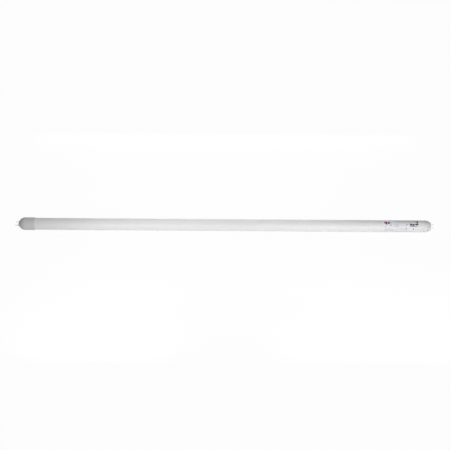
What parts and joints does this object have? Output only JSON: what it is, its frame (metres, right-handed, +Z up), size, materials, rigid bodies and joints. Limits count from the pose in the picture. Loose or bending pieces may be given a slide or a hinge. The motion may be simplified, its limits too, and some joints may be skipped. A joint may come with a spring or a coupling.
{
  "type": "led tube",
  "caption": "Straight LED tube lamp: opal glass tube lying level, a blunt-nosed cap with two contact pins at each end, and a printed label by the mains end.",
  "frame": {"origin": "on the tube's axis, halfway between the flat faces of the two end caps", "axes": "+X along the tube towards the mains end and its label; +Z up, with the LED strip at the bottom as the lamp lies; the pins of each cap side by side along Y"},
  "size_m": [0.9082, 0.0274, 0.0274],
  "materials": {
    "opal_glass": "opal, glossy outside",
    "grey_cap": "satin, moulded",
    "white_cap": "gloss, moulded",
    "pin_metal": "nickel-plated",
    "cap_cement": "cured silicone",
    "strip_aluminium": "white solder resist on top",
    "strip_bead": "cured silicone",
    "led_white": "moulded white",
    "led_phosphor": "silicone with phosphor",
    "board_laminate": "green solder resist",
    "resistor_coat": "dipped",
    "varistor_coat": "dipped epoxy",
    "chip_black": "moulded epoxy",
    "capacitor_box": "moulded box",
    "can_sleeve": "shrink sleeve on aluminium",
    "ferrite": "sintered, wound with enamelled wire",
    "chip_resistor": "thick film",
    "lead_red": "insulated wire",
    "lead_black": "insulated wire",
    "lead_white": "insulated wire",
    "label_film": "printed film"
  },
  "bodies": {
    "root": {"opal_tube": "opal_glass", "far_end_cap": "grey_cap", "input_end_cap": "white_cap", "far_cap_glue": "cap_cement", "input_cap_glue": "cap_cement", "input_pin_front": "pin_metal", "input_pin_rear": "pin_metal", "far_pin_front": "pin_metal", "far_pin_rear": "pin_metal", "far_pin_link": "lead_white", "led_strip_board": "strip_aluminium", "strip_adhesive": "strip_bead", "leds": "led_white", "led_phosphors": "led_phosphor", "driver_board": "board_laminate", "fuse_resistor": "resistor_coat", "surge_varistor": "varistor_coat", "bridge_rectifier": "chip_black", "film_capacitor": "capacitor_box", "input_capacitor": "can_sleeve", "driver_chip": "chip_black", "power_inductor": "ferrite", "output_capacitor": "can_sleeve", "chip_resistors": "chip_resistor", "input_lead_front": "lead_white", "input_lead_rear": "lead_white", "output_lead_front": "lead_black", "output_lead_rear": "lead_red", "rating_label": "label_film"}
  },
  "joints": []
}
